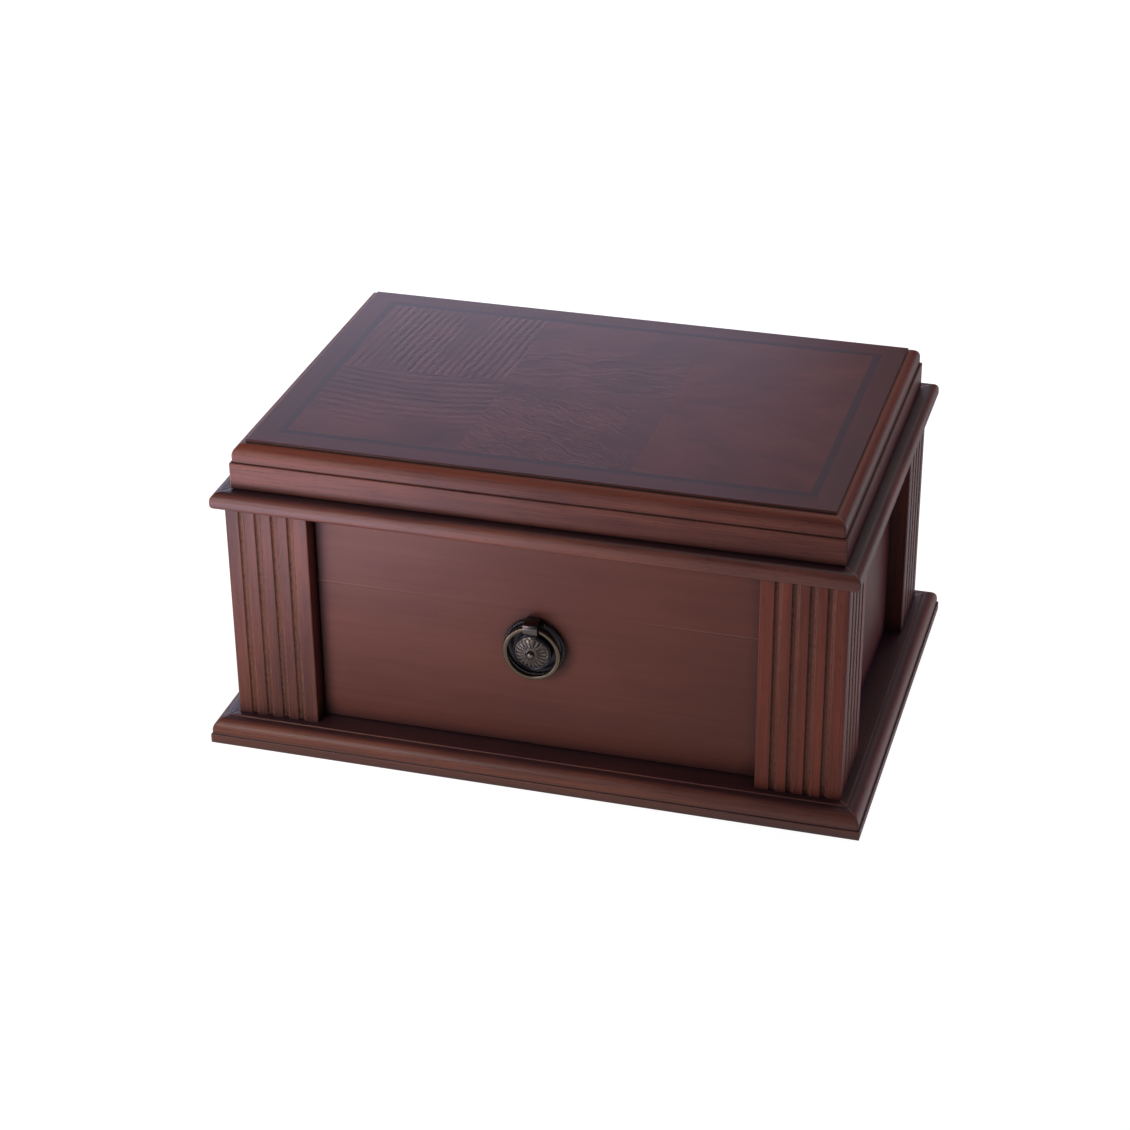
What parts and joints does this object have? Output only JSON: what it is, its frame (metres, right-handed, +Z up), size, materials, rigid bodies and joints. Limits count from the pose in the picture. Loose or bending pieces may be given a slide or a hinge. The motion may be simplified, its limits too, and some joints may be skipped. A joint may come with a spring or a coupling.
{
  "type": "lidded chest with drawer",
  "caption": "Stained wooden chest with fluted corner posts, a moulded base and waist, a veneered lid hinged at the back and a front drawer opened by a ring pull.",
  "frame": {"origin": "middle of the underside of the base, on the surface that it stands on", "axes": "+X to the right seen from the front, +Y to the back, +Z up; the drawer and the ring pull face -Y"},
  "size_m": [0.432, 0.3022, 0.2123],
  "materials": {
    "moulding_wood": "red-brown stain under satin lacquer",
    "panel_wood": "red-brown stain under satin lacquer, quiet grain",
    "field_veneer": "figured veneer under satin lacquer",
    "border_veneer": "straight-grained veneer under satin lacquer",
    "inlay_wood": "dark dyed veneer line",
    "inner_wood": "plain sealed softwood",
    "lining_felt": "short-pile felt",
    "antique_brass": "dark antique patina, rubbed bright on the high edges",
    "hinge_brass": "aged brass",
    "plated_steel": "zinc plated"
  },
  "bodies": {
    "chest": {"back_panel": "panel_wood", "base_moulding_back": "moulding_wood", "base_moulding_front": "moulding_wood", "base_moulding_left": "moulding_wood", "base_moulding_right": "moulding_wood", "bottom_board": "inner_wood", "corner_post_back_left": "moulding_wood", "corner_post_back_right": "moulding_wood", "corner_post_front_left": "moulding_wood", "corner_post_front_right": "moulding_wood", "drawer_guide_left": "inner_wood", "drawer_guide_right": "inner_wood", "hinge_leaf_body_left": "hinge_brass", "hinge_leaf_body_right": "hinge_brass", "hinge_pin_left": "hinge_brass", "hinge_pin_right": "hinge_brass", "hinge_screws_body": "hinge_brass", "side_panel_left": "panel_wood", "side_panel_right": "panel_wood", "tray_apron": "inner_wood", "tray_cleat_left": "inner_wood", "tray_cleat_right": "inner_wood", "tray_floor": "inner_wood", "tray_lining": "lining_felt", "waist_moulding_back": "moulding_wood", "waist_moulding_front": "moulding_wood", "waist_moulding_left": "moulding_wood", "waist_moulding_right": "moulding_wood"},
    "lid": {"border_veneer": "border_veneer", "field_veneer_row1_col1": "field_veneer", "field_veneer_row1_col2": "field_veneer", "field_veneer_row1_col3": "field_veneer", "field_veneer_row2_col1": "field_veneer", "field_veneer_row2_col2": "field_veneer", "field_veneer_row2_col3": "field_veneer", "hinge_leaf_lid_left": "hinge_brass", "hinge_leaf_lid_right": "hinge_brass", "hinge_screws_lid": "hinge_brass", "inlay_lines": "inlay_wood", "lid_core_board": "inner_wood", "lid_rail_back": "moulding_wood", "lid_rail_front": "moulding_wood", "lid_rail_left": "moulding_wood", "lid_rail_right": "moulding_wood"},
    "drawer": {"drawer_back": "inner_wood", "drawer_bottom": "inner_wood", "drawer_front": "panel_wood", "drawer_inner_front": "inner_wood", "drawer_lining": "lining_felt", "drawer_screws": "plated_steel", "drawer_side_left": "inner_wood", "drawer_side_right": "inner_wood", "pull_backplate": "antique_brass", "pull_bolt": "plated_steel", "pull_rosette": "antique_brass", "pull_strap": "antique_brass", "pull_washer": "plated_steel"},
    "ring": {"pull_ring": "antique_brass"}
  },
  "joints": [
    {"name": "lid_hinge", "type": "hinge", "parent": "chest", "child": "lid", "pos_m": [0, 0.13495, 0.18095], "axis": [-1, 0, 0], "range_deg": [0, 95]},
    {"name": "drawer_slide", "type": "slide", "parent": "chest", "child": "drawer", "axis": [0, -1, 0], "range_m": [0, 0.15]},
    {"name": "ring_swing", "type": "hinge", "parent": "drawer", "child": "ring", "pos_m": [0, -0.13205, 0.1084], "axis": [-1, 0, 0], "range_deg": [0, 100]}
  ]
}
